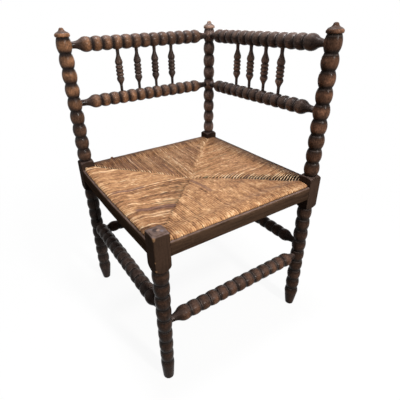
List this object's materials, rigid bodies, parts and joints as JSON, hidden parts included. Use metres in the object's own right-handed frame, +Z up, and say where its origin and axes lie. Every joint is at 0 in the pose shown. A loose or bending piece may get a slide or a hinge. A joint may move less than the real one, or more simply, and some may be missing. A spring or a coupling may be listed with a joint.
{
  "type": "corner chair",
  "caption": "Bobbin-turned wooden corner chair with two open spindle backs, beaded stretchers and a woven rush seat in four mitred fields.",
  "frame": {"origin": "on the floor under the middle of the square seat", "axes": "+Z up; the two front sides of the seat face -X and -Y, the two backs stand along +X and +Y, and the rear post is the one at +X +Y"},
  "size_m": [0.4776, 0.4776, 0.7856],
  "materials": {
    "warm_turned_wood": "brown stain under wax, worn orange-brown on the bead crowns, near black in the grooves",
    "dark_turned_wood": "dark brown stain under wax, greyer sheen, small chips",
    "strip_wood": "dark brown stain, edges worn round and greyish",
    "hidden_wood": "bare sawn wood inside the rush",
    "rush": "twisted rush, straw to ochre with brown and purplish strands, worn smoother at the front"
  },
  "bodies": {
    "chair": {"rear_post": "warm_turned_wood", "left_post": "warm_turned_wood", "right_post": "dark_turned_wood", "front_leg": "dark_turned_wood", "top_rail_left": "warm_turned_wood", "top_rail_right": "warm_turned_wood", "lower_rail_left": "warm_turned_wood", "lower_rail_right": "warm_turned_wood", "spindle_left_1": "warm_turned_wood", "spindle_left_2": "warm_turned_wood", "spindle_left_3": "warm_turned_wood", "spindle_left_4": "warm_turned_wood", "spindle_right_1": "warm_turned_wood", "spindle_right_2": "warm_turned_wood", "spindle_right_3": "warm_turned_wood", "spindle_right_4": "warm_turned_wood", "stretcher_front_right": "dark_turned_wood", "stretcher_back_right": "dark_turned_wood", "stretcher_back_left": "dark_turned_wood", "stretcher_front_left": "dark_turned_wood", "seat_rail_front_right": "hidden_wood", "seat_rail_back_right": "hidden_wood", "seat_rail_back_left": "hidden_wood", "seat_rail_front_left": "hidden_wood", "edge_strip_front_right": "strip_wood", "edge_strip_back_right": "strip_wood", "edge_strip_back_left": "strip_wood", "edge_strip_front_left": "strip_wood", "rush_seat": "rush"}
  },
  "joints": []
}
